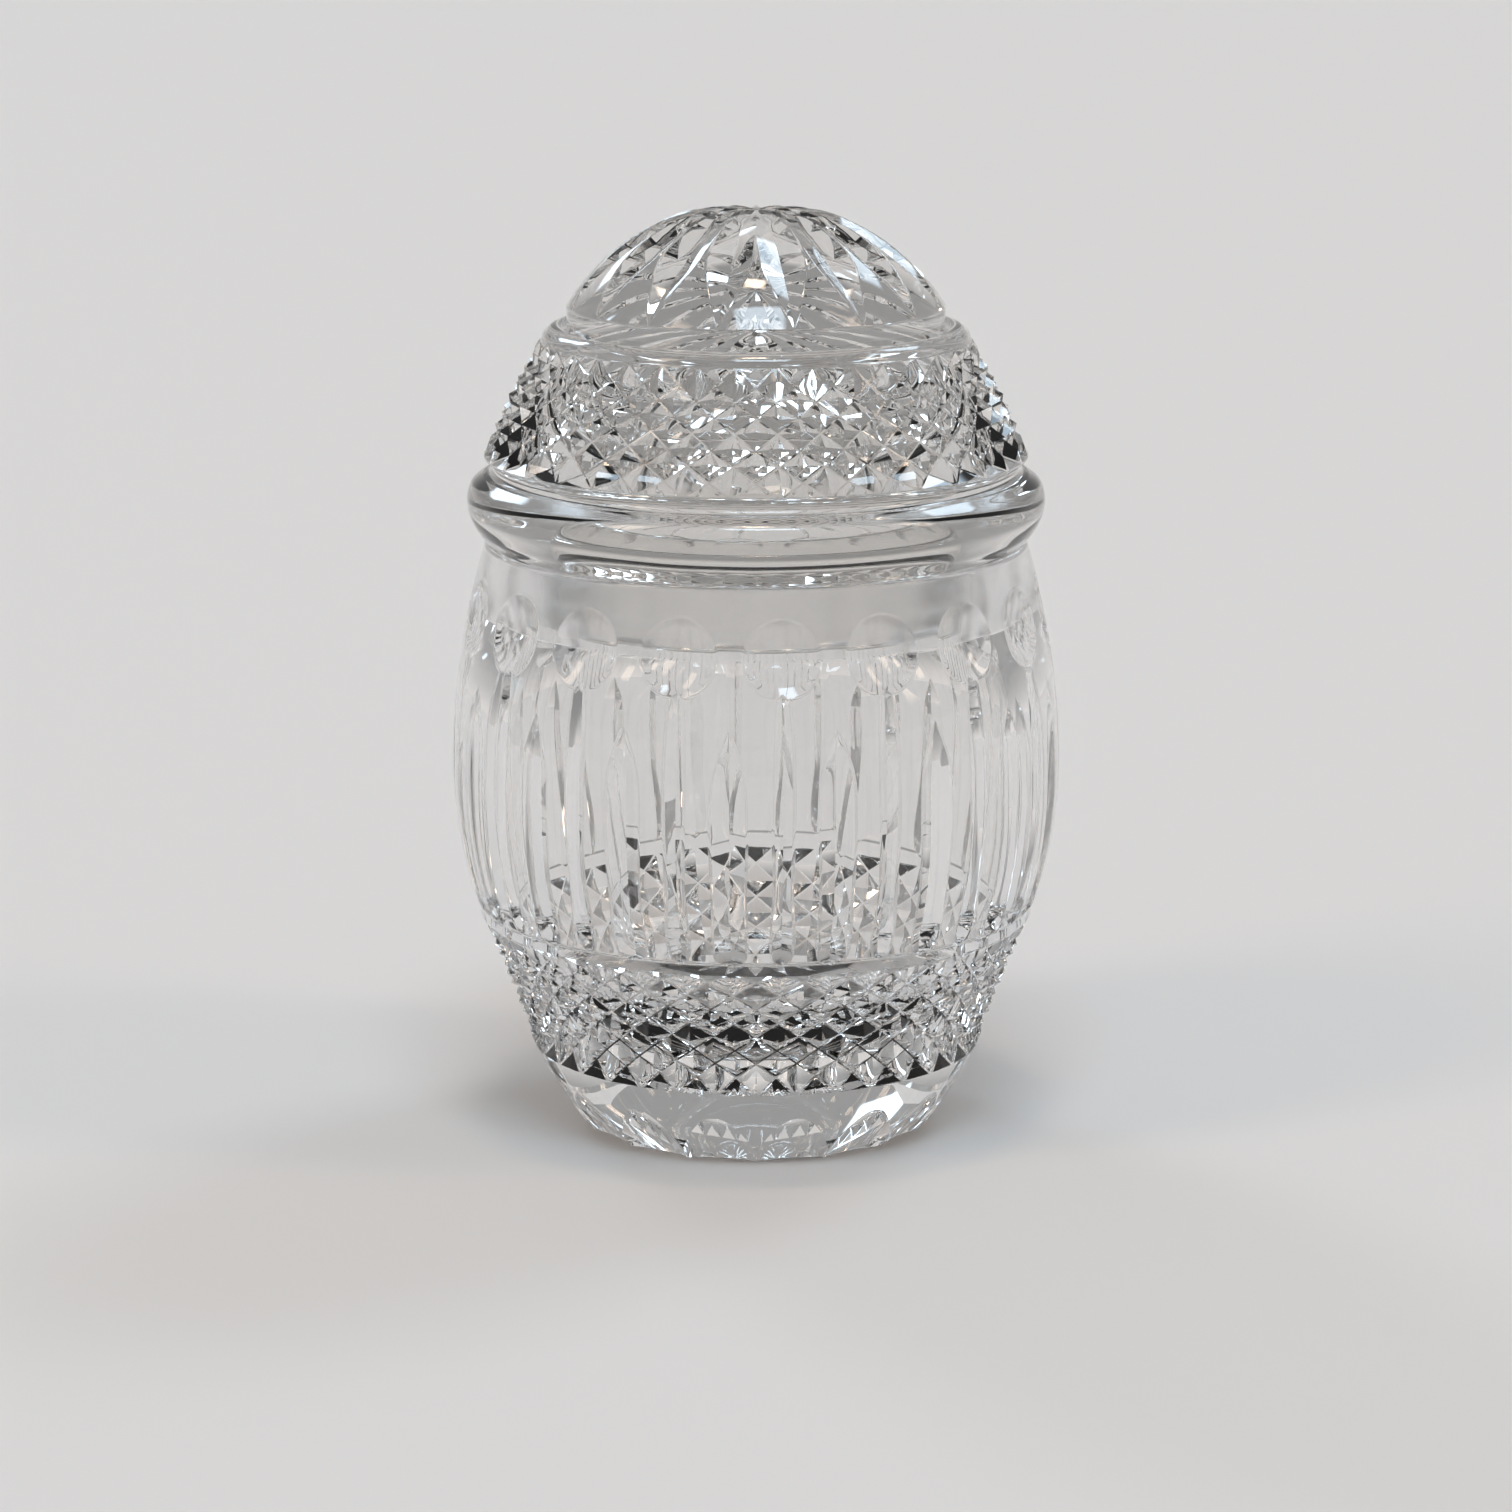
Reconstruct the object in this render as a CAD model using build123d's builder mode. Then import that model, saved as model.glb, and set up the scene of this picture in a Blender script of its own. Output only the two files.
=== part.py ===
"""Powder jar in cut lead crystal: a barrel jar and its lift-off star-cut lid."""
import os
from math import cos, radians, sin, tan
from build123d import *

os.makedirs("parts", exist_ok=True)

# ---- driving dimensions, millimetres; origin under the middle of the foot, +Z up ----
# jar outside
foot_radius = 32.6
base_line = (38.2, 9.4)          # top of the foot facets
tip_line = (40.8, 14.5)          # lower edge of the diamond band
band_top = (49.7, 36.2)
ridge_point = (50.3, 39.3)       # lower lip of the ring groove
groove_point = (50.3, 41.0)      # bottom of the ring groove
groove_lip = (50.9, 41.5)        # upper lip of the ring groove
belly_radius = 55.0
belly_height = 66.0
shoulder_point = (49.0, 106.4)
rim_height = 107.3
rim_radius = 48.2
# jar inside
mouth_radius = 41.0
mouth_chamfer = 0.6
chamfer_start = rim_height - mouth_chamfer
seat_bottom = rim_height - 14.7   # the ground seat runs from here up to the rim
cavity_wall = [(44.6, 82.0), (46.2, 66.0), (43.6, 44.0), (35.6, 26.0), (22.0, 16.6)]
cavity_floor = 14.8
# lid outside
collar_radius = 40.7
collar_bottom = 94.2
collar_chamfer = 0.6
collar_start = collar_bottom + collar_chamfer
lid_edge = (48.7, 107.8)
bead_low = (50.5, 110.2)
bead_middle = (51.95, 114.6)
bead_high = (51.2, 117.8)
bead_top = (48.9, 119.6)
cove_point = (47.3, 120.9)
lid_band_bottom = (48.9, 122.7)
lid_band_middle = (44.4, 133.5)
lid_band_top = (38.4, 143.8)
lip_middle = (36.7, 145.9)
neck_corner = (33.7, 145.2)
dome_edge = (33.9, 149.5)
dome_apex = 168.3
# lid inside
hollow_top = 151.0
hollow_wall = [(15.0, 148.6), (25.5, 142.0), (33.4, 131.0), (36.4, 116.0)]
hollow_radius = 34.6
# cuts
diamonds_round = 36
diamond_depth = 1.9
diamond_flat = 0.06              # how far the points of the diamonds sit under the band
diamond_runout = 0.25            # how far the end rows of the grid stand clear of the band
lid_rows = 8
jar_rows = 9
cutter_outside = 60.0
star_grooves = 8                 # each one crosses the whole dome: sixteen points
# bottom of each groove as (distance from the axis, height); it runs out at the dome's edge
star_valley = [(0, 166.5), (6.0, 166.1), (12.0, 165.0), (18.0, 162.2), (24.0, 158.0),
               (28.0, 155.15), (31.0, 152.5), (33.9, 149.5), (34.9, 148.4)]
star_half_angle = 68.0
star_height = 6.0                # how far the cutter stands above the bottom of its groove
star_steps = 12                  # sections in the cutter from the middle to each end
print_count = 18
print_height = 97.7
print_ball = 13.0
print_chord = 14.0
flute_count = 18
flute_reach = 6.0
# cut widths down each flute as (height, width); a negative width stands clear of the glass
tall_flute = [(40.4, -0.8), (41.7, 2.6), (56.0, 3.4), (75.0, 4.0), (85.0, 3.3), (89.9, 2.1),
              (91.6, 0.0), (92.2, -1.2)]
tall_half_angle = 52.0
short_flute = [(40.2, -0.8), (41.7, 5.0), (54.0, 6.2), (68.0, 7.1), (73.0, 6.7), (76.2, 5.6),
               (79.1, 3.8), (83.6, 0.0), (84.6, -1.2)]
short_half_angle = 60.0
foot_facets = 16
facet_curve = 26.0
facet_length = 60.0
facet_low = (30.3, 0)
facet_high = (38.3, 9.6)
base_grooves = 12                # each one crosses the whole base: 24 rays
base_ray_tip = 27.5
base_ray_depth = 2.0
base_ray_overrun = 1.05          # the cutter runs on past the tip, clear of the glass
base_half_angle = 65.0


def on_circle(radius, height, angle):
    """A point at the given radius, height and angle in degrees round the axis."""
    return Vector(radius * cos(radians(angle)), radius * sin(radians(angle)), height)


def triangle(a, b, c):
    return Face(Wire.make_polygon([a, b, c], close=True))


def diamond_cutter(curve, rows, first=0):
    """The ring of glass that crossed mitre grooves take off a band.

    Grooves cross on every second node of a grid; the nodes between them are the
    points of the diamonds. Both end rows lie just outside the glass, so that the
    grooves run out there.
    """
    half_pitch = 180.0 / diamonds_round
    columns = 2 * diamonds_round
    grid = []
    for row in range(rows + 1):
        point = curve.position_at(row / rows)
        slope = curve.tangent_at(row / rows)
        inward = Vector(-abs(slope.Z), 0, slope.X * (1 if slope.Z > 0 else -1))
        nodes = []
        for column in range(columns):
            crossing = (row + column + first) % 2 == 0
            depth = diamond_depth if crossing else diamond_flat
            if row in (0, rows):
                depth = -diamond_runout
            node = point + inward * depth
            nodes.append(on_circle(node.X, node.Z, column * half_pitch))
        grid.append(nodes)
    faces = []
    for row in range(rows):
        for column in range(columns):
            after = (column + 1) % columns
            low_a = grid[row][column]
            low_b = grid[row][after]
            high_a = grid[row + 1][column]
            high_b = grid[row + 1][after]
            if (row + column + first) % 2 == 0:
                faces.append(triangle(low_a, low_b, high_b))
                faces.append(triangle(low_a, high_b, high_a))
            else:
                faces.append(triangle(low_a, low_b, high_a))
                faces.append(triangle(low_b, high_b, high_a))
    low_z = grid[0][0].Z
    high_z = grid[rows][0].Z
    rim_low = [on_circle(cutter_outside, low_z, k * half_pitch) for k in range(columns)]
    rim_high = [on_circle(cutter_outside, high_z, k * half_pitch) for k in range(columns)]
    for column in range(columns):
        after = (column + 1) % columns
        faces.append(triangle(grid[0][column], rim_low[column], rim_low[after]))
        faces.append(triangle(grid[0][column], rim_low[after], grid[0][after]))
        faces.append(triangle(grid[rows][column], rim_high[column], rim_high[after]))
        faces.append(triangle(grid[rows][column], rim_high[after], grid[rows][after]))
        faces.append(triangle(rim_low[column], rim_high[column], rim_high[after]))
        faces.append(triangle(rim_low[column], rim_high[after], rim_low[after]))
    return Solid(Shell(faces))


def lofted(sections):
    """A solid through a run of three-cornered sections."""
    faces = [triangle(*sections[0]), triangle(*sections[-1])]
    for low, high in zip(sections, sections[1:]):
        for k in range(3):
            after = (k + 1) % 3
            faces.append(triangle(low[k], low[after], high[after]))
            faces.append(triangle(low[k], high[after], high[k]))
    return Solid(Shell(faces))


def barrel_radius(height):
    """Outside radius of the uncut barrel at a height."""
    if height > belly_height:
        rise = shoulder_point[1] - belly_height
        drop = belly_radius - shoulder_point[0]
    else:
        rise = belly_height - groove_lip[1]
        drop = belly_radius - groove_lip[0]
    arc = (rise * rise + drop * drop) / (2 * drop)
    return belly_radius - arc + (arc * arc - (height - belly_height) ** 2) ** 0.5


def flute_cutter(widths, half_angle):
    """The glass a mitre wheel takes off on its way down the barrel."""
    slope = tan(radians(half_angle))
    sections = []
    for height, width in widths:
        valley = barrel_radius(height) - width / 2 / slope
        back = valley + flute_reach
        spread = flute_reach * slope
        points = [
            Vector(valley, 0, height),
            Vector(back, spread, height),
            Vector(back, -spread, height),
        ]
        sections.append(points)
    return lofted(sections)


def straight_groove(tip, depth, half_angle):
    """A straight mitre groove across the underside, deepest in the middle."""
    below = -1.0
    run = tip * base_ray_overrun
    end = depth * (1 - base_ray_overrun)
    sections = []
    for x, valley in ((-run, end), (0, depth), (run, end)):
        spread = (valley - below) * tan(radians(half_angle))
        points = [Vector(x, 0, valley), Vector(x, spread, below), Vector(x, -spread, below)]
        sections.append(points)
    return lofted(sections)


def dome_groove(half_angle):
    """A mitre groove over the dome, from one edge across the middle to the other."""
    points = [Vector(x, 0, z) for x, z in star_valley]
    path = Edge.make_spline(points, tangents=[(1, 0, 0), points[-1] - points[-2]])
    spread = Vector(0, star_height * tan(radians(half_angle)), 0)
    sections = []
    for step in range(-star_steps, star_steps + 1):
        share = abs(step) / star_steps
        side = 1 if step >= 0 else -1
        at = path.position_at(share)
        slope = path.tangent_at(share)
        valley = Vector(at.X * side, 0, at.Z)
        back = valley + Vector(-slope.Z * side, 0, slope.X) * star_height
        sections.append([valley, back + spread, back - spread])
    return lofted(sections)


# ---------------------------------------------------------------- jar
with BuildPart() as jar_body:
    with BuildSketch(Plane.XZ) as jar_section:
        with BuildLine() as jar_outline:
            Line((0, 0), (foot_radius, 0))
            Line((foot_radius, 0), base_line)
            Line(base_line, tip_line)
            Line(tip_line, band_top)
            Line(band_top, ridge_point)
            Line(ridge_point, groove_point)
            Line(groove_point, groove_lip)
            TangentArc((belly_radius, belly_height), groove_lip, tangent=(0, -1))
            TangentArc((belly_radius, belly_height), shoulder_point, tangent=(0, 1))
            Line(shoulder_point, (rim_radius, rim_height))
            Line((rim_radius, rim_height), (mouth_radius + mouth_chamfer, rim_height))
            Line((mouth_radius + mouth_chamfer, rim_height), (mouth_radius, chamfer_start))
            Line((mouth_radius, chamfer_start), (mouth_radius, seat_bottom))
            Spline(
                (mouth_radius, seat_bottom),
                *cavity_wall,
                (0, cavity_floor),
                tangents=[(0.5, -1), (-1, 0)],
            )
            Line((0, cavity_floor), (0, 0))
        make_face()
    revolve(axis=Axis.Z)

    # crossed mitre grooves above the foot
    jar_band = Edge.make_line((tip_line[0], 0, tip_line[1]), (ridge_point[0], 0, ridge_point[1]))
    add(diamond_cutter(jar_band, jar_rows), mode=Mode.SUBTRACT)

    # thumbprints below the rim, one over each tall flute
    print_radius = barrel_radius(print_height)
    print_sink = print_ball - (print_ball**2 - (print_chord / 2) ** 2) ** 0.5
    with PolarLocations(print_radius + print_ball - print_sink, print_count, start_angle=15):
        with Locations((0, 0, print_height)):
            Sphere(print_ball, mode=Mode.SUBTRACT)

    # mitre flutes down the barrel, tall and short by turns
    tall_cutter = flute_cutter(tall_flute, tall_half_angle)
    short_cutter = flute_cutter(short_flute, short_half_angle)
    with PolarLocations(0, flute_count, start_angle=15):
        add(tall_cutter, mode=Mode.SUBTRACT)
    with PolarLocations(0, flute_count, start_angle=5):
        add(short_cutter, mode=Mode.SUBTRACT)

    # arched facets round the foot
    facet_slope = Vector(facet_high[0] - facet_low[0], 0, facet_high[1] - facet_low[1]).normalized()
    facet_normal = Vector(facet_slope.Z, 0, -facet_slope.X)
    facet_centre = Vector(facet_low[0], 0, facet_low[1]) + facet_normal * facet_curve
    with PolarLocations(0, foot_facets, start_angle=11.25):
        with Locations(Plane(origin=facet_centre, x_dir=(0, 1, 0), z_dir=facet_slope)):
            Cylinder(facet_curve, facet_length, mode=Mode.SUBTRACT)

    # star under the foot
    base_ray = straight_groove(base_ray_tip, base_ray_depth, base_half_angle)
    with PolarLocations(0, base_grooves, angular_range=180):
        add(base_ray, mode=Mode.SUBTRACT)
jar_body.part.label = "jar_body"
export_step(jar_body.part, "parts/jar_body.step")

# ---------------------------------------------------------------- lid
with BuildPart() as lid:
    with BuildSketch(Plane.XZ) as lid_section:
        with BuildLine() as lid_outline:
            Line((hollow_radius, collar_bottom), (collar_radius - collar_chamfer, collar_bottom))
            Line((collar_radius - collar_chamfer, collar_bottom), (collar_radius, collar_start))
            Line((collar_radius, collar_start), (collar_radius, rim_height))
            Line((collar_radius, rim_height), (rim_radius, rim_height))
            Line((rim_radius, rim_height), lid_edge)
            Spline(lid_edge, bead_low, bead_middle, bead_high, bead_top)
            ThreePointArc(bead_top, cove_point, lid_band_bottom)
            ThreePointArc(lid_band_bottom, lid_band_middle, lid_band_top)
            ThreePointArc(lid_band_top, lip_middle, neck_corner)
            Line(neck_corner, dome_edge)
            TangentArc((0, dome_apex), dome_edge, tangent=(1, 0))
            Line((0, dome_apex), (0, hollow_top))
            Spline(
                (0, hollow_top),
                *hollow_wall,
                (hollow_radius, collar_bottom),
                tangents=[(1, 0), (-0.1, -1)],
            )
        make_face()
    revolve(axis=Axis.Z)

    # crossed mitre grooves on the shoulder
    lid_band = Edge.make_three_point_arc(
        (lid_band_bottom[0], 0, lid_band_bottom[1]),
        (lid_band_middle[0], 0, lid_band_middle[1]),
        (lid_band_top[0], 0, lid_band_top[1]),
    )
    add(diamond_cutter(lid_band, lid_rows, first=1), mode=Mode.SUBTRACT)

    # sixteen-point star over the dome
    star_cutter = dome_groove(star_half_angle)
    with PolarLocations(0, star_grooves, start_angle=11.25, angular_range=180):
        add(star_cutter, mode=Mode.SUBTRACT)
lid.part.label = "lid"
export_step(lid.part, "parts/lid.step")
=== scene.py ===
"""Cut-crystal powder jar: barrel jar and star-cut lid, on a pale studio floor."""

from math import acos, atan, atan2, cos, degrees, pi, radians, sin, tan

import bmesh
import bpy
import numpy as np
from mathutils import Matrix, Vector


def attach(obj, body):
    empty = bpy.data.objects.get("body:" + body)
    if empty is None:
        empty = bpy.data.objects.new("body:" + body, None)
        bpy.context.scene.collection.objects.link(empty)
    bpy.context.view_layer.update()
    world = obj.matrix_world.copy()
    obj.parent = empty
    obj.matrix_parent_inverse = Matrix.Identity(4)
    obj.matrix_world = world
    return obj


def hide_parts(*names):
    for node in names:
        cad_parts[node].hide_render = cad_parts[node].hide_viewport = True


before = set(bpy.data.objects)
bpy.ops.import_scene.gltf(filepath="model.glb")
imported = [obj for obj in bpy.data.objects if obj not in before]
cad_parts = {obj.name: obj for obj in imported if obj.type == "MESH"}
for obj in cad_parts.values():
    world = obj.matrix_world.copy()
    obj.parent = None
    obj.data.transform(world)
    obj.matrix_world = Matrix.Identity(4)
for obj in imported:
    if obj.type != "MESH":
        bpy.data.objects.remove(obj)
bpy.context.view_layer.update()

MM = 0.001

# ------------------------------------------------------------------ dimensions, in mm
# the jar
BELLY, BELLY_Z = 55.0, 66.0
SHOULDER = (49.0, 106.4)
GROOVE_LIP = (50.9, 41.5)
RIM_Z = 107.3
MOUTH = 41.0
SEAT_Z = 92.6
PRINT_Z, PRINT_BALL, PRINT_CHORD = 97.7, 13.0, 14.0
# cut widths down each flute as (height, width); a negative width stands clear of the glass
TALL_FLUTE = [(40.4, -0.8), (41.7, 2.6), (56.0, 3.4), (75.0, 4.0), (85.0, 3.3), (89.9, 2.1),
              (91.6, 0.0), (92.2, -1.2)]
TALL_HALF_ANGLE = 52
SHORT_FLUTE = [(40.2, -0.8), (41.7, 5.0), (54.0, 6.2), (68.0, 7.1), (73.0, 6.7), (76.2, 5.6),
               (79.1, 3.8), (83.6, 0.0), (84.6, -1.2)]
SHORT_HALF_ANGLE = 60
FOOT_FACETS, FACET_CURVE, FACET_LENGTH = 16, 26.0, 60
BASE_GROOVES, BASE_RAY, BASE_DEPTH, BASE_OVERRUN, BASE_HALF_ANGLE = 12, 27.5, 2.0, 1.05, 65
# the lid
COLLAR, COLLAR_Z = 40.7, 94.2
HOLLOW = 34.6
DOME_EDGE, APEX = (33.9, 149.5), 168.3
# bottom of each star groove as (distance from the axis, height)
STAR_VALLEY = [(0, 166.5), (6.0, 166.1), (12.0, 165.0), (18.0, 162.2), (24.0, 158.0),
               (28.0, 155.15), (31.0, 152.5), (33.9, 149.5), (34.9, 148.4)]
STAR_GROOVES, STAR_HALF_ANGLE = 8, 68
# both bands of diamonds
DIAMONDS_ROUND = 36
DIAMOND_DEPTH = 1.9
DIAMOND_FLAT = 0.06      # how far the points of the diamonds sit under the band
DIAMOND_RUNOUT = 0.25    # how far the end rows of the grid stand clear of the band
CUTTER_OUTSIDE = 60.0
JAR_ROWS, LID_ROWS = 9, 8

# ------------------------------------------------------------------ how fine, how soft
AROUND = 240             # sides of a turned surface
EDGE = 0.28              # how far a polished edge is rounded back, in mm
VALLEY_EDGE = 0.7 * EDGE
SEAM = 0.2               # how far a softened strip runs on outside the glass, in mm
SHARP_FACET = 42.0       # an edge bent more than this, in degrees, is drawn crisp
SHARP_OTHER = 24.0

# what kind of surface a face comes from, kept through the cuts as its material index
LATHE, FACET, CURVED, SOFT = 0, 1, 2, 3
TAG_MATERIALS = [bpy.data.materials.new("tag%d" % k) for k in range(4)]


# ------------------------------------------------------------------ profile curves, in mm
def arc_through(a, b, c, steps):
    """Points on the circle through three points, from a to c."""
    ax, az = a
    bx, bz = b
    cx, cz = c
    d = 2 * (ax * (bz - cz) + bx * (cz - az) + cx * (az - bz))
    a2, b2, c2 = ax * ax + az * az, bx * bx + bz * bz, cx * cx + cz * cz
    ux = (a2 * (bz - cz) + b2 * (cz - az) + c2 * (az - bz)) / d
    uz = (a2 * (cx - bx) + b2 * (ax - cx) + c2 * (bx - ax)) / d
    radius = ((ax - ux) ** 2 + (az - uz) ** 2) ** 0.5
    start = atan2(az - uz, ax - ux)
    middle = (atan2(bz - uz, bx - ux) - start) % (2 * pi)
    sweep = (atan2(cz - uz, cx - ux) - start) % (2 * pi)
    if middle > sweep:
        sweep -= 2 * pi
    angles = [start + sweep * k / steps for k in range(steps + 1)]
    return [(ux + radius * cos(t), uz + radius * sin(t)) for t in angles]


def line(a, b, steps=1):
    """Points from a to b."""
    return [(a[0] + (b[0] - a[0]) * k / steps, a[1] + (b[1] - a[1]) * k / steps)
            for k in range(steps + 1)]


def spline(points, steps, start=None, end=None):
    """A smooth curve through points, by cubic pieces; start and end are tangents."""
    p = [np.array(q, float) for q in points]
    slopes = []
    for k in range(len(p)):
        if 0 < k < len(p) - 1:
            before = np.linalg.norm(p[k] - p[k - 1])
            after = np.linalg.norm(p[k + 1] - p[k])
            one = (p[k] - p[k - 1]) / before
            two = (p[k + 1] - p[k]) / after
            slopes.append((one * after + two * before) / (before + after))
        else:
            slopes.append((p[1] - p[0]) if k == 0 else (p[-1] - p[-2]))
            slopes[-1] = slopes[-1] / np.linalg.norm(slopes[-1])
    if start:
        slopes[0] = np.array(start, float) / np.linalg.norm(start)
    if end:
        slopes[-1] = np.array(end, float) / np.linalg.norm(end)
    out = []
    for k in range(len(p) - 1):
        chord = np.linalg.norm(p[k + 1] - p[k])
        for j in range(steps + (k == len(p) - 2)):
            t = j / steps
            q = ((2 * t**3 - 3 * t**2 + 1) * p[k] + (t**3 - 2 * t**2 + t) * chord * slopes[k]
                 + (-2 * t**3 + 3 * t**2) * p[k + 1] + (t**3 - t**2) * chord * slopes[k + 1])
            out.append((float(q[0]), float(q[1])))
    return out


def rounded(points, back=EDGE, corner=15.0):
    """The same outline with its sharp corners polished over."""
    out = [points[0]]
    for before, here, after in zip(points, points[1:], points[2:]):
        before, here, after = (np.array(q, float) for q in (before, here, after))
        run_in, run_out = np.linalg.norm(here - before), np.linalg.norm(after - here)
        if min(run_in, run_out) < 1e-9:
            continue
        one, two = (here - before) / run_in, (after - here) / run_out
        if degrees(acos(max(-1.0, min(1.0, float(one @ two))))) < corner:
            out.append(tuple(here))
            continue
        reach = min(back, 0.4 * run_in, 0.4 * run_out)
        start, end = here - one * reach, here + two * reach
        for k in range(5):
            t = k / 4
            out.append(tuple((1 - t)**2 * start + 2 * t * (1 - t) * here + t * t * end))
    return out + [points[-1]]


# ------------------------------------------------------------------ meshes
def new_object(name, verts, faces, tag):
    """An object from corners in mm; tag is one kind of surface, or a list with one per face."""
    mesh = bpy.data.meshes.new(name)
    mesh.from_pydata([tuple(c * MM for c in v) for v in verts], [], faces)
    for slot in TAG_MATERIALS:
        mesh.materials.append(slot)
    tags = tag if isinstance(tag, list) else [tag] * len(mesh.polygons)
    mesh.polygons.foreach_set("material_index", tags)
    mesh.update()
    obj = bpy.data.objects.new(name, mesh)
    bpy.context.scene.collection.objects.link(obj)
    work = bmesh.new()
    work.from_mesh(mesh)
    bmesh.ops.recalc_face_normals(work, faces=work.faces)
    work.to_mesh(mesh)
    work.free()
    return obj


def joined(*curves):
    """Curves end to end, without the doubled points where they meet."""
    outline = []
    for curve in curves:
        for point in curve:
            if not outline or abs(point[0] - outline[-1][0]) + abs(point[1] - outline[-1][1]) > 1e-6:
                outline.append(point)
    return outline


def lathe(name, outline):
    """A closed solid of revolution from an outline of (radius, height)."""
    outline = list(outline)
    closed = outline[0][0] > 0 and outline[0] == outline[-1]
    if closed:
        outline.pop()
    verts, rings = [], []
    for radius, height in outline:
        if radius < 1e-6:
            rings.append([len(verts)] * AROUND)
            verts.append((0, 0, height))
        else:
            rings.append(list(range(len(verts), len(verts) + AROUND)))
            for k in range(AROUND):
                turn = 2 * pi * k / AROUND
                verts.append((radius * cos(turn), radius * sin(turn), height))
    if closed:
        rings.append(rings[0])
    faces = []
    for one, two in zip(rings, rings[1:]):
        for k in range(AROUND):
            n = (k + 1) % AROUND
            corners = []
            for v in (one[k], one[n], two[n], two[k]):
                if v not in corners:
                    corners.append(v)
            if len(corners) > 2:
                faces.append(corners)
    return new_object(name, verts, faces, LATHE)


def on_circle(radius, height, angle):
    return (radius * cos(radians(angle)), radius * sin(radians(angle)), height)


def along(curve, share):
    """The point and unit tangent at a share of a polyline's length."""
    p = np.array(curve)
    runs = np.linalg.norm(np.diff(p, axis=0), axis=1)
    reach = np.concatenate([[0], np.cumsum(runs)])
    at = share * reach[-1]
    k = min(int(np.searchsorted(reach, at, side="right")) - 1, len(runs) - 1)
    k = max(k, 0)
    point = p[k] + (p[k + 1] - p[k]) * (at - reach[k]) / runs[k]
    return point, (p[k + 1] - p[k]) / runs[k]


def diamond_ring(name, curve, rows, first):
    """The ring of glass that crossed mitre grooves take off a band of diamonds."""
    half = 180.0 / DIAMONDS_ROUND
    columns = 2 * DIAMONDS_ROUND
    verts, faces = [], []
    for row in range(rows + 1):
        point, slope = along(curve, row / rows)
        inward = np.array([-abs(slope[1]), slope[0] * (1 if slope[1] > 0 else -1)])
        for column in range(columns):
            sunk = DIAMOND_DEPTH if (row + column + first) % 2 == 0 else DIAMOND_FLAT
            if row in (0, rows):
                sunk = -DIAMOND_RUNOUT
            node = point + inward * sunk
            verts.append(on_circle(node[0], node[1], column * half))

    def at(row, column):
        return row * columns + column % columns

    for row in range(rows):
        for c in range(columns):
            a, b = at(row, c), at(row, c + 1)
            d, e = at(row + 1, c), at(row + 1, c + 1)
            if (row + c + first) % 2 == 0:
                faces += [(a, b, e), (a, e, d)]
            else:
                faces += [(a, b, d), (b, e, d)]
    low_z, high_z = verts[0][2], verts[at(rows, 0)][2]
    low, high = len(verts), len(verts) + columns
    verts += [on_circle(CUTTER_OUTSIDE, low_z, k * half) for k in range(columns)]
    verts += [on_circle(CUTTER_OUTSIDE, high_z, k * half) for k in range(columns)]
    for c in range(columns):
        n = (c + 1) % columns
        faces += [(at(0, c), low + c, low + n, at(0, n)),
                  (at(rows, c), high + c, high + n, at(rows, n)),
                  (low + c, high + c, high + n, low + n)]
    ring = new_object(name, verts, faces, FACET)
    work = bmesh.new()
    work.from_mesh(ring.data)
    work.verts.ensure_lookup_table()
    # only the slanting edges are groove bottoms
    grooves = []
    for edge in work.edges:
        one, two = sorted(v.index for v in edge.verts)
        if two < low and one // columns != two // columns and one % columns != two % columns:
            grooves.append(edge)
    bmesh.ops.bevel(work, geom=grooves, offset=VALLEY_EDGE * MM, offset_type="OFFSET", segments=1,
                    affect="EDGES", clamp_overlap=False)
    work.to_mesh(ring.data)
    work.free()
    return ring


def mitre(name, stations, half_angle, turns, reach=6.0):
    """V-shaped cutters with softened edges, turned round Z.

    A station is (valley, outward, depth, bend): the V's bottom, the way out of the glass,
    how deep the bottom lies, and the radius at which the surface curves away to the sides.
    """
    cot = 1 / tan(radians(half_angle))
    sections = []
    for valley, outward, depth, bend in stations:
        meets = bend * (-cot + (cot * cot + 2 * max(depth, 0) / bend) ** 0.5)
        inner = max(meets - min(EDGE, 0.35 * meets), 0.02)
        slope = tan((atan(cot) - meets / bend) / 2)
        outer = meets + 2 * EDGE + SEAM
        lip = inner * cot + (outer - inner) * slope
        shape = [(inner, inner * cot), (outer, lip), (reach / cot, reach)]
        ring = [(0, 0)] + shape + [(-y, h) for y, h in reversed(shape)]
        sections.append([Vector(valley) + Vector(outward) * h + Vector((0, y, 0)) for y, h in ring])
    kinds = [CURVED, SOFT, CURVED, CURVED, CURVED, SOFT, CURVED]
    verts, faces, tags = [], [], []
    for turn in turns:
        spin = Matrix.Rotation(radians(turn), 3, "Z")
        base = len(verts)
        for section in sections:
            verts += [tuple(spin @ corner) for corner in section]
        last = base + 7 * (len(sections) - 1)
        faces += [tuple(range(base, base + 7)), tuple(range(last + 6, last - 1, -1))]
        tags += [CURVED, CURVED]
        for k in range(len(sections) - 1):
            s = base + 7 * k
            for j in range(7):
                n = (j + 1) % 7
                faces.append((s + j, s + n, s + 7 + n, s + 7 + j))
                tags.append(kinds[j])
    return new_object(name, verts, faces, tags)


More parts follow.
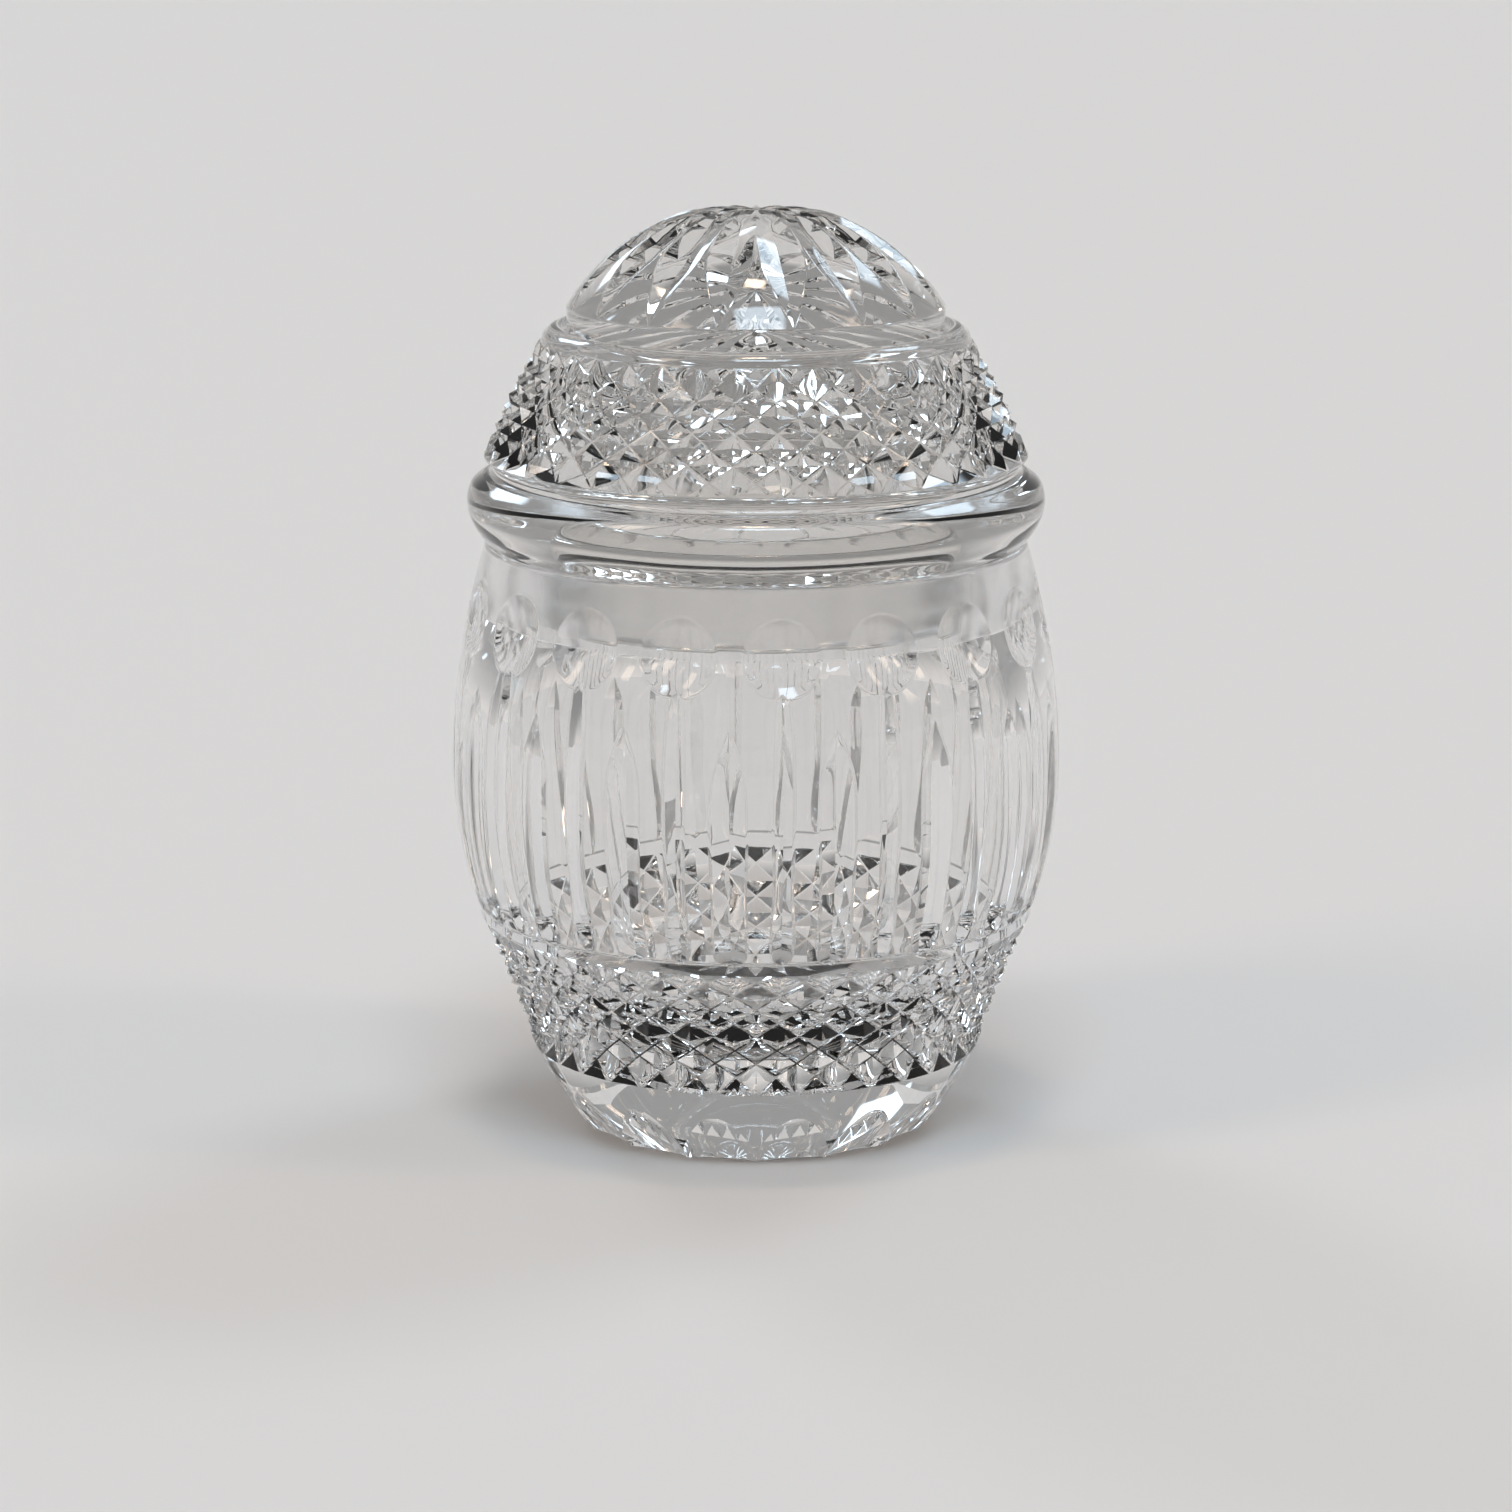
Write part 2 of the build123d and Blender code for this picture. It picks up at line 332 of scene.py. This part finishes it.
def thumbprints(name, height, ball, chord, turns, around=72, rings=9):
    """Ball-shaped cutters with softened rims, standing on the barrel."""
    sink = ball - (ball**2 - (chord / 2) ** 2) ** 0.5
    hub = barrel(height) + ball - sink

    def hollow(rho):
        return hub - (ball**2 - rho**2) ** 0.5

    def surface(rho, phi):
        return (barrel(height + rho * sin(phi)) ** 2 - (rho * cos(phi)) ** 2) ** 0.5

    outline = []
    for k in range(around):
        phi = 2 * pi * k / around
        low, high = 0.0, ball * 0.95
        for _ in range(40):
            rho = (low + high) / 2
            if hollow(rho) < surface(rho, phi):
                low = rho
            else:
                high = rho
        inner, outer = rho - EDGE, rho + 2 * EDGE + SEAM
        rise = rho / (ball**2 - rho**2) ** 0.5
        fall = (surface(rho + 0.01, phi) - surface(rho - 0.01, phi)) / 0.02
        slope = tan((atan(rise) + atan(fall)) / 2)
        line_up = [(inner * (j + 1) / rings, hollow(inner * (j + 1) / rings)) for j in range(rings)]
        line_up += [(outer, hollow(inner) + (outer - inner) * slope), (outer, hub)]
        outline.append([(x, r * cos(phi), height + r * sin(phi)) for r, x in line_up])
    verts, faces, tags = [], [], []
    layers = rings + 2
    for turn in turns:
        spin = Matrix.Rotation(radians(turn), 3, "Z")
        base = len(verts)
        verts.append(tuple(spin @ Vector((hollow(0), 0, height))))
        for line_up in outline:
            verts += [tuple(spin @ Vector(q)) for q in line_up]
        for k in range(around):
            a, b = base + 1 + layers * k, base + 1 + layers * ((k + 1) % around)
            faces.append((base, a, b))
            tags.append(CURVED)
            for j in range(layers - 1):
                faces.append((a + j, a + j + 1, b + j + 1, b + j))
                tags.append(SOFT if j == rings - 1 else CURVED)
        faces.append(tuple(base + layers * (k + 1) for k in range(around)))
        tags.append(CURVED)
    return new_object(name, verts, faces, tags)


def rod(name, radius, length, matrices, sides=320):
    """Cylinders along local Z, one at each matrix."""
    verts, faces = [], []
    for matrix in matrices:
        base = len(verts)
        for end in (-length / 2, length / 2):
            for k in range(sides):
                t = 2 * pi * k / sides
                verts.append(tuple(matrix @ Vector((radius * cos(t), radius * sin(t), end))))
        faces.append(tuple(range(base, base + sides)))
        faces.append(tuple(range(base + sides, base + 2 * sides)))
        for k in range(sides):
            n = (k + 1) % sides
            faces.append((base + k, base + n, base + sides + n, base + sides + k))
    return new_object(name, verts, faces, CURVED)


def cut(body, cutters):
    """Takes each cutter away from body, one after the other."""
    for cutter in cutters:
        step = body.modifiers.new(cutter.name, "BOOLEAN")
        step.operation = "DIFFERENCE"
        step.solver = "MANIFOLD"
        step.object = cutter
    graph = bpy.context.evaluated_depsgraph_get()
    made = bpy.data.meshes.new_from_object(body.evaluated_get(graph))
    body.modifiers.clear()
    old = body.data
    body.data = made
    bpy.data.meshes.remove(old)
    for cutter in cutters:
        mesh = cutter.data
        bpy.data.objects.remove(cutter)
        bpy.data.meshes.remove(mesh)


def finish_normals(obj, outline):
    """Crisp edges between cuts, soft ones along them, true normals on what was turned."""
    mesh = obj.data
    work = bmesh.new()
    work.from_mesh(mesh)
    for face in work.faces:
        face.smooth = True
    for edge in work.edges:
        kinds = [f.material_index for f in edge.link_faces]
        if len(kinds) != 2:
            continue
        mixed = kinds[0] != kinds[1] and (LATHE in kinds or FACET in kinds)
        limit = radians(SHARP_FACET if kinds[0] == FACET else SHARP_OTHER)
        edge.smooth = not mixed and edge.calc_face_angle(0.0) < limit
    work.to_mesh(mesh)
    work.free()
    weigh = obj.modifiers.new("weigh", "WEIGHTED_NORMAL")
    weigh.mode = "FACE_AREA"
    weigh.weight = 90
    weigh.keep_sharp = True
    graph = bpy.context.evaluated_depsgraph_get()
    weighed = obj.evaluated_get(graph).to_mesh()
    normals = np.zeros(len(mesh.loops) * 3, np.float32)
    weighed.corner_normals.foreach_get("vector", normals)
    normals = normals.reshape(-1, 3)
    obj.evaluated_get(graph).to_mesh_clear()
    obj.modifiers.clear()

    tags = np.zeros(len(mesh.polygons), np.int32)
    mesh.polygons.foreach_get("material_index", tags)
    co = np.zeros(len(mesh.vertices) * 3, np.float32)
    mesh.vertices.foreach_get("co", co)
    co = co.reshape(-1, 3) / MM
    corner_vert = np.zeros(len(mesh.loops), np.int32)
    mesh.loops.foreach_get("vertex_index", corner_vert)
    totals = np.zeros(len(mesh.polygons), np.int32)
    mesh.polygons.foreach_get("loop_total", totals)
    corner_tag = tags[np.repeat(np.arange(len(totals)), totals)]
    centre = np.zeros(len(mesh.polygons) * 3, np.float32)
    mesh.polygons.foreach_get("center", centre)
    corner_centre = np.repeat(centre.reshape(-1, 3) / MM, totals, axis=0)
    turned_verts = np.zeros(len(co), bool)
    turned_verts[corner_vert[corner_tag == LATHE]] = True
    wanted = (corner_tag == LATHE) | ((corner_tag == SOFT) & turned_verts[corner_vert])
    corners = np.nonzero(wanted)[0]

    p = np.array(outline, float)
    runs = np.diff(p, axis=0)
    side = np.stack([runs[:, 1], -runs[:, 0]], 1)
    side[p[:-1, 0] + p[1:, 0] < 1e-6] = 0
    at = np.concatenate([side[:1], side[:-1] + side[1:], side[-1:]])
    at /= np.linalg.norm(at, axis=1)[:, None]
    # corners lean a little towards their face's middle, to fall on the right side of an edge
    spot = co[corner_vert[corners]]
    lean_by = np.where(corner_tag[corners] == LATHE, 0.02, 0)[:, None]
    lean = spot + (corner_centre[corners] - spot) * lean_by
    flat = np.stack([np.hypot(lean[:, 0], lean[:, 1]), lean[:, 2]], 1)
    best = np.full(len(flat), 1e9)
    seg = np.zeros(len(flat), np.int32)
    share = np.zeros(len(flat))
    for k, run in enumerate(runs):
        t = np.clip(((flat - p[k]) @ run) / (run @ run), 0, 1)
        gap = np.linalg.norm(flat - p[k] - t[:, None] * run, axis=1)
        closer = gap < best
        best[closer] = gap[closer]
        seg[closer] = k
        share[closer] = t[closer]
    rz = at[seg] * (1 - share)[:, None] + at[seg + 1] * share[:, None]
    rz /= np.linalg.norm(rz, axis=1)[:, None]
    on_axis = np.hypot(spot[:, 0], spot[:, 1]) < 1e-3
    direction = np.where(on_axis[:, None], corner_centre[corners][:, :2], spot[:, :2])
    direction = direction / np.maximum(np.linalg.norm(direction, axis=1), 1e-9)[:, None]
    true = np.concatenate([direction * rz[:, :1], rz[:, 1:]], 1)
    agree = np.sum(true * normals[corners], axis=1)
    true[agree < 0] *= -1
    normals[corners] = true
    mesh.normals_split_custom_set(normals.tolist())
    mesh.polygons.foreach_set("material_index", [0] * len(mesh.polygons))


# ------------------------------------------------------------------ the two pieces
def barrel(height):
    """Outside radius of the uncut barrel at a height."""
    rise, drop = ((SHOULDER[1] - BELLY_Z, BELLY - SHOULDER[0]) if height > BELLY_Z
                  else (BELLY_Z - GROOVE_LIP[1], BELLY - GROOVE_LIP[0]))
    arc = (rise * rise + drop * drop) / (2 * drop)
    return BELLY - arc + (arc * arc - (height - BELLY_Z) ** 2) ** 0.5


def flute_stations(points, half_angle, steps=8):
    """Fine stations down one flute from (height, width) points."""
    cot = 1 / tan(radians(half_angle))
    stations = []
    for height, width in spline(points, steps):
        depth = (width - EDGE) / 2 * cot
        stations.append(((barrel(height) - depth, 0, height), (1, 0, 0), depth, barrel(height)))
    return stations


def build_jar():
    foot, line_a, tips = (32.6, 0), (38.2, 9.4), (40.8, 14.5)
    top, ridge, groove = (49.7, 36.2), (50.3, 39.3), (50.3, 41.0)
    heights = [GROOVE_LIP[1] + (SHOULDER[1] - GROOVE_LIP[1]) * k / 60 for k in range(61)]
    outline = rounded(joined(
        [(0, 0), foot, line_a, tips, top, ridge, groove],
        [(barrel(h), h) for h in heights],
        arc_through(SHOULDER, (48.75, 107.05), (48.1, RIM_Z), 5),
        [(MOUTH + 0.6, RIM_Z), (MOUTH, RIM_Z - 0.6), (MOUTH, SEAT_Z)],
        spline([(MOUTH, SEAT_Z), (44.6, 82.0), (46.2, BELLY_Z), (43.6, 44.0), (35.6, 26.0),
                (22.0, 16.6), (0, 14.8)], 12, start=(0.5, -1), end=(-1, 0)),
    ))
    body = lathe("jar_body_glass", outline)
    over_tall = [15 + 20 * k for k in range(18)]
    over_short = [5 + 20 * k for k in range(18)]
    cutters = [diamond_ring("diamonds", line(tips, ridge), JAR_ROWS, 0)]
    cutters.append(thumbprints("prints", PRINT_Z, PRINT_BALL, PRINT_CHORD, over_tall))
    tall = flute_stations(TALL_FLUTE, TALL_HALF_ANGLE)
    short = flute_stations(SHORT_FLUTE, SHORT_HALF_ANGLE)
    cutters.append(mitre("tall", tall, TALL_HALF_ANGLE, over_tall))
    cutters.append(mitre("short", short, SHORT_HALF_ANGLE, over_short))
    low, high, curve = Vector((30.3, 0, 0)), Vector((38.3, 0, 9.6)), FACET_CURVE
    slope = (high - low).normalized()
    out = Vector((slope.z, 0, -slope.x))
    # two cutters, each with every second facet
    for part in (0, 1):
        matrices = []
        for k in range(FOOT_FACETS // 2):
            turn = Matrix.Rotation(radians(11.25 + 22.5 * (2 * k + part)), 4, "Z")
            axes = Matrix((out, slope.cross(out), slope)).transposed().to_4x4()
            matrices.append(turn @ Matrix.Translation(low + out * curve) @ axes)
        cutters.append(rod("facets%d" % part, curve, FACET_LENGTH, matrices))
    run, end = BASE_RAY * BASE_OVERRUN, BASE_DEPTH * (1 - BASE_OVERRUN)
    flat = 1e4
    ray = [((x, 0, deep), (0, 0, -1), deep, flat)
           for x, deep in ((-run, end), (0, BASE_DEPTH), (run, end))]
    for k in range(BASE_GROOVES):
        cutters.append(mitre("ray%d" % k, ray, BASE_HALF_ANGLE, [15 * k], reach=3.0))
    cut(body, cutters)
    finish_normals(body, outline)
    return body


def star_stations(steps=3):
    """Stations of one star groove, from one edge of the dome across the middle to the other."""
    rise = APEX - DOME_EDGE[1]
    dome = (DOME_EDGE[0] ** 2 + rise**2) / (2 * rise)
    valley = spline(STAR_VALLEY, steps, start=(1, 0))
    right = []
    for k, (x, z) in enumerate(valley):
        before = valley[k - 1] if k else (-valley[1][0], valley[1][1])
        after = valley[min(k + 1, len(valley) - 1)]
        slope = Vector((after[0] - before[0], 0, after[1] - before[1])).normalized()
        outward = Vector((-slope.z, 0, slope.x))
        middle = Vector((x, 0, z - APEX + dome))
        reach = middle.dot(outward)
        depth = (reach**2 - middle.length_squared + dome**2) ** 0.5 - reach
        right.append(((x, 0, z), tuple(outward), depth, dome))
    left = [((-v[0], 0, v[2]), (-o[0], 0, o[2]), depth, bend)
            for v, o, depth, bend in right[:0:-1]]
    return left + right


def build_lid():
    rise = APEX - DOME_EDGE[1]
    dome = (DOME_EDGE[0] ** 2 + rise**2) / (2 * rise)
    dome_middle = (20.0, APEX - dome + (dome**2 - 400) ** 0.5)
    band = arc_through((48.9, 122.7), (44.4, 133.5), (38.4, 143.8), 16)
    outline = rounded(joined(
        [(38.0, COLLAR_Z), (COLLAR - 0.6, COLLAR_Z), (COLLAR, COLLAR_Z + 0.6), (COLLAR, RIM_Z),
         (48.2, RIM_Z)],
        spline([(48.7, 107.8), (50.5, 110.2), (51.95, 114.6), (51.2, 117.8), (48.9, 119.6)], 8),
        arc_through((48.9, 119.6), (47.3, 120.9), (48.9, 122.7), 8),
        band,
        arc_through((38.4, 143.8), (36.7, 145.9), (33.7, 145.2), 10),
        arc_through(DOME_EDGE, dome_middle, (0, APEX), 40),
    ))
    inside = rounded(joined(
        spline([(0, 151.0), (15.0, 148.6), (25.5, 142.0), (33.4, 131.0), (36.4, 116.0),
                (HOLLOW, COLLAR_Z)], 12, start=(1, 0), end=(-0.1, -1)),
        [(HOLLOW, COLLAR_Z), (38.0, COLLAR_Z)],
    ))
    body = lathe("lid_glass", outline + inside)
    cutters = [diamond_ring("diamonds", band, LID_ROWS, 1)]
    star = star_stations()
    for k in range(STAR_GROOVES):
        cutters.append(mitre("star%d" % k, star, STAR_HALF_ANGLE, [11.25 + 22.5 * k]))
    cut(body, cutters)
    finish_normals(body, outline + inside)
    return body


# ------------------------------------------------------------------ materials
CRYSTAL_IOR = 1.545
JAR_TINT = (0.955, 0.95, 0.945, 1)
# the lid's base colour is darker and warmer than the jar's: the glass's faint tint plus painted
# shade, standing in for the darker light the lid gets
LID_TINT_AND_PAINTED_SHADE = (0.875, 0.865, 0.85, 1)


def crystal(name, tint_and_painted_shade, seat_radius, seat_low):
    """Clear polished lead crystal, faintly wavy, with a satin-ground seat and a worn foot."""
    material = bpy.data.materials.new(name)
    material.use_nodes = True
    nodes, links = material.node_tree.nodes, material.node_tree.links
    shader = nodes["Principled BSDF"]
    shader.inputs["Transmission Weight"].default_value = 1.0
    shader.inputs["IOR"].default_value = CRYSTAL_IOR
    # base colour: the glass's own faint tint, and on the lid also painted shade
    shader.inputs["Base Color"].default_value = tint_and_painted_shade
    where = nodes.new("ShaderNodeTexCoord").outputs["Object"]

    def noise(scale, detail):
        node = nodes.new("ShaderNodeTexNoise")
        node.inputs["Scale"].default_value = scale
        node.inputs["Detail"].default_value = detail
        links.new(where, node.inputs["Vector"])
        return node.outputs["Fac"]

    def maths(operation, a, b):
        node = nodes.new("ShaderNodeMath")
        node.operation = operation
        for socket, value in zip(node.inputs, (a, b)):
            if isinstance(value, (int, float)):
                socket.default_value = value
            else:
                links.new(value, socket)
        return node.outputs[0]

    def between(value, low, high):
        return maths("MULTIPLY", maths("GREATER_THAN", value, low), maths("LESS_THAN", value, high))

    flat = nodes.new("ShaderNodeVectorMath")
    flat.operation = "MULTIPLY"
    flat.inputs[1].default_value = (1, 1, 0)
    links.new(where, flat.inputs[0])
    length = nodes.new("ShaderNodeVectorMath")
    length.operation = "LENGTH"
    links.new(flat.outputs["Vector"], length.inputs[0])
    radius = length.outputs["Value"]
    split = nodes.new("ShaderNodeSeparateXYZ")
    links.new(where, split.inputs[0])
    height = split.outputs["Z"]
    seat = maths("MULTIPLY", between(radius, (seat_radius - 0.25) * MM, (seat_radius + 0.25) * MM),
                 between(height, (seat_low + 0.3) * MM, (RIM_Z - 0.5) * MM))
    foot = maths("MULTIPLY", maths("GREATER_THAN", radius, 28 * MM),
                 maths("LESS_THAN", height, 0.1 * MM))
    grain = noise(2600.0, 2.0)
    ground = maths("MULTIPLY", seat, maths("ADD", 0.14, maths("MULTIPLY", grain, 0.14)))
    worn = maths("MULTIPLY", foot, maths("MULTIPLY", noise(420.0, 4.0), 0.3))
    polish = maths("MULTIPLY", noise(160.0, 3.0), 0.02)
    links.new(maths("ADD", polish, maths("ADD", ground, worn)), shader.inputs["Roughness"])
    bump = nodes.new("ShaderNodeBump")
    bump.inputs["Strength"].default_value = 0.25
    bump.inputs["Distance"].default_value = 0.0004
    links.new(noise(45.0, 1.5), bump.inputs["Height"])
    links.new(bump.outputs["Normal"], shader.inputs["Normal"])
    return material


jar_glass = crystal("jar_crystal", JAR_TINT, MOUTH, SEAT_Z)
lid_glass = crystal("lid_crystal", LID_TINT_AND_PAINTED_SHADE, COLLAR, COLLAR_Z)

jar = build_jar()
lid = build_lid()
for piece, material, body, node, slot in (
    (jar, jar_glass, "jar", "jar_body", "jar_crystal"),
    (lid, lid_glass, "lid", "lid", "lid_crystal"),
):
    piece.data.materials.clear()
    piece.data.materials.append(material)
    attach(piece, body)
    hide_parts(node)
for spare in TAG_MATERIALS:
    bpy.data.materials.remove(spare)

# ------------------------------------------------------------------ floor
bpy.ops.mesh.primitive_circle_add(vertices=128, radius=6.0, fill_type="NGON")
floor = bpy.context.object
floor.name = "floor"
paint = bpy.data.materials.new("floor_paint")
paint.use_nodes = True
matt = paint.node_tree.nodes["Principled BSDF"]
matt.inputs["Base Color"].default_value = (0.84, 0.80, 0.772, 1)
matt.inputs["Roughness"].default_value = 0.9
floor.data.materials.append(paint)

# ------------------------------------------------------------------ light
# azimuth, elevation, width, height in degrees, softness of the edge, colour, strength
WINDOWS = (
    (4, 63, 22, 14, 0.15, (0.70, 0.86, 1.0, 1), 6.0),
    (-150, 28, 13, 14, 0.2, (0.70, 0.86, 1.0, 1), 4.5),
    (135, 46, 18, 12, 0.2, (0.70, 0.86, 1.0, 1), 4.5),
    (-6, 84, 8, 5, 0.3, (1.0, 0.80, 0.62, 1), 14.0),
    (-60, 40, 10, 24, 0.2, (1.0, 0.82, 0.66, 1), 3.2),
    (75, 35, 8, 26, 0.2, (1.0, 0.82, 0.66, 1), 3.2),
)


def window(nodes, links, where, azimuth, elevation, width, height, soft):
    """A soft-edged rectangle in the sky: 1 inside, 0 outside. Azimuth 0 is -Y, + towards +X."""
    a, e = radians(azimuth), radians(elevation)
    facing = Vector((sin(a) * cos(e), -cos(a) * cos(e), sin(e)))
    side = Vector((cos(a), sin(a), 0))
    up = side.cross(facing)
    masks = []
    for axis, half in ((side, tan(radians(width / 2))), (up, tan(radians(height / 2)))):
        dot = nodes.new("ShaderNodeVectorMath")
        dot.operation = "DOT_PRODUCT"
        dot.inputs[1].default_value = axis
        ahead = nodes.new("ShaderNodeVectorMath")
        ahead.operation = "DOT_PRODUCT"
        ahead.inputs[1].default_value = facing
        links.new(where, dot.inputs[0])
        links.new(where, ahead.inputs[0])
        front = nodes.new("ShaderNodeMath")
        front.operation = "MAXIMUM"
        front.inputs[1].default_value = 0.02
        links.new(ahead.outputs["Value"], front.inputs[0])
        ratio = nodes.new("ShaderNodeMath")
        ratio.operation = "DIVIDE"
        links.new(dot.outputs["Value"], ratio.inputs[0])
        links.new(front.outputs[0], ratio.inputs[1])
        size = nodes.new("ShaderNodeMath")
        size.operation = "ABSOLUTE"
        links.new(ratio.outputs[0], size.inputs[0])
        edge = nodes.new("ShaderNodeMapRange")
        edge.interpolation_type = "SMOOTHSTEP"
        edge.inputs["From Min"].default_value = half * (1 + soft)
        edge.inputs["From Max"].default_value = half * (1 - soft)
        links.new(size.outputs[0], edge.inputs["Value"])
        masks.append(edge.outputs["Result"])
    both = nodes.new("ShaderNodeMath")
    both.operation = "MULTIPLY"
    links.new(masks[0], both.inputs[0])
    links.new(masks[1], both.inputs[1])
    return both.outputs[0]


world = bpy.data.worlds.new("studio")
bpy.context.scene.world = world
world.use_nodes = True
nodes, links = world.node_tree.nodes, world.node_tree.links
back = nodes["Background"]
where = nodes.new("ShaderNodeTexCoord").outputs["Generated"]
split = nodes.new("ShaderNodeSeparateXYZ")
links.new(where, split.inputs[0])


def ramp(factor, stops):
    """Colours blended along a factor, from (position, colour) stops."""
    node = nodes.new("ShaderNodeValToRGB")
    links.new(factor, node.inputs["Fac"])
    node.color_ramp.elements[0].position = stops[0][0]
    node.color_ramp.elements[0].color = stops[0][1] + (1,)
    node.color_ramp.elements[1].position = stops[-1][0]
    node.color_ramp.elements[1].color = stops[-1][1] + (1,)
    for position, colour in stops[1:-1]:
        node.color_ramp.elements.new(position).color = colour + (1,)
    return node.outputs["Color"]


backdrop = ramp(split.outputs["Z"], [(0.0, (0.46, 0.445, 0.435)), (0.08, (0.34, 0.335, 0.33)),
                                     (0.2, (0.19, 0.19, 0.19)), (1.0, (0.20, 0.20, 0.20))])
room = ramp(split.outputs["Z"], [(0.0, (0.22, 0.217, 0.213)), (0.25, (0.15, 0.15, 0.15)),
                                 (0.6, (0.14, 0.142, 0.145)), (1.0, (0.21, 0.21, 0.21))])
behind = nodes.new("ShaderNodeMapRange")
behind.interpolation_type = "SMOOTHSTEP"
behind.inputs["From Min"].default_value = -0.1
behind.inputs["From Max"].default_value = 0.7
links.new(split.outputs["Y"], behind.inputs["Value"])
surroundings = nodes.new("ShaderNodeMix")
surroundings.data_type = "RGBA"
links.new(behind.outputs["Result"], surroundings.inputs["Factor"])
links.new(room, surroundings.inputs[6])
links.new(backdrop, surroundings.inputs[7])
total = surroundings.outputs[2]
for azimuth, elevation, width, height, soft, colour, strength in WINDOWS:
    mask = window(nodes, links, where, azimuth, elevation, width, height, soft)
    glow = nodes.new("ShaderNodeMix")
    glow.data_type = "RGBA"
    glow.blend_type = "MIX"
    links.new(mask, glow.inputs["Factor"])
    links.new(total, glow.inputs[6])
    glow.inputs[7].default_value = tuple(c * strength for c in colour[:3]) + (1,)
    total = glow.outputs[2]
links.new(total, back.inputs["Color"])
back.inputs["Strength"].default_value = 1.68
bpy.context.scene.view_settings.view_transform = "Standard"
bpy.context.scene.cycles.max_bounces = 32
bpy.context.scene.cycles.transmission_bounces = 32
bpy.context.scene.cycles.glossy_bounces = 16

# ------------------------------------------------------------------ camera
CAMERA_DOWN = 12.59      # degrees below level
FOCAL_LENGTH = 120.17381  # mm, on a sensor 36 mm wide
lens = bpy.data.cameras.new("camera")
camera = bpy.data.objects.new("camera", lens)
bpy.context.scene.collection.objects.link(camera)
camera.location = (0.0, -0.8965, 0.2673)
camera.rotation_euler = (radians(90 - CAMERA_DOWN), 0, 0)
lens.sensor_width = 36.0
lens.lens = FOCAL_LENGTH
lens.clip_start = 0.01
bpy.context.scene.camera = camera
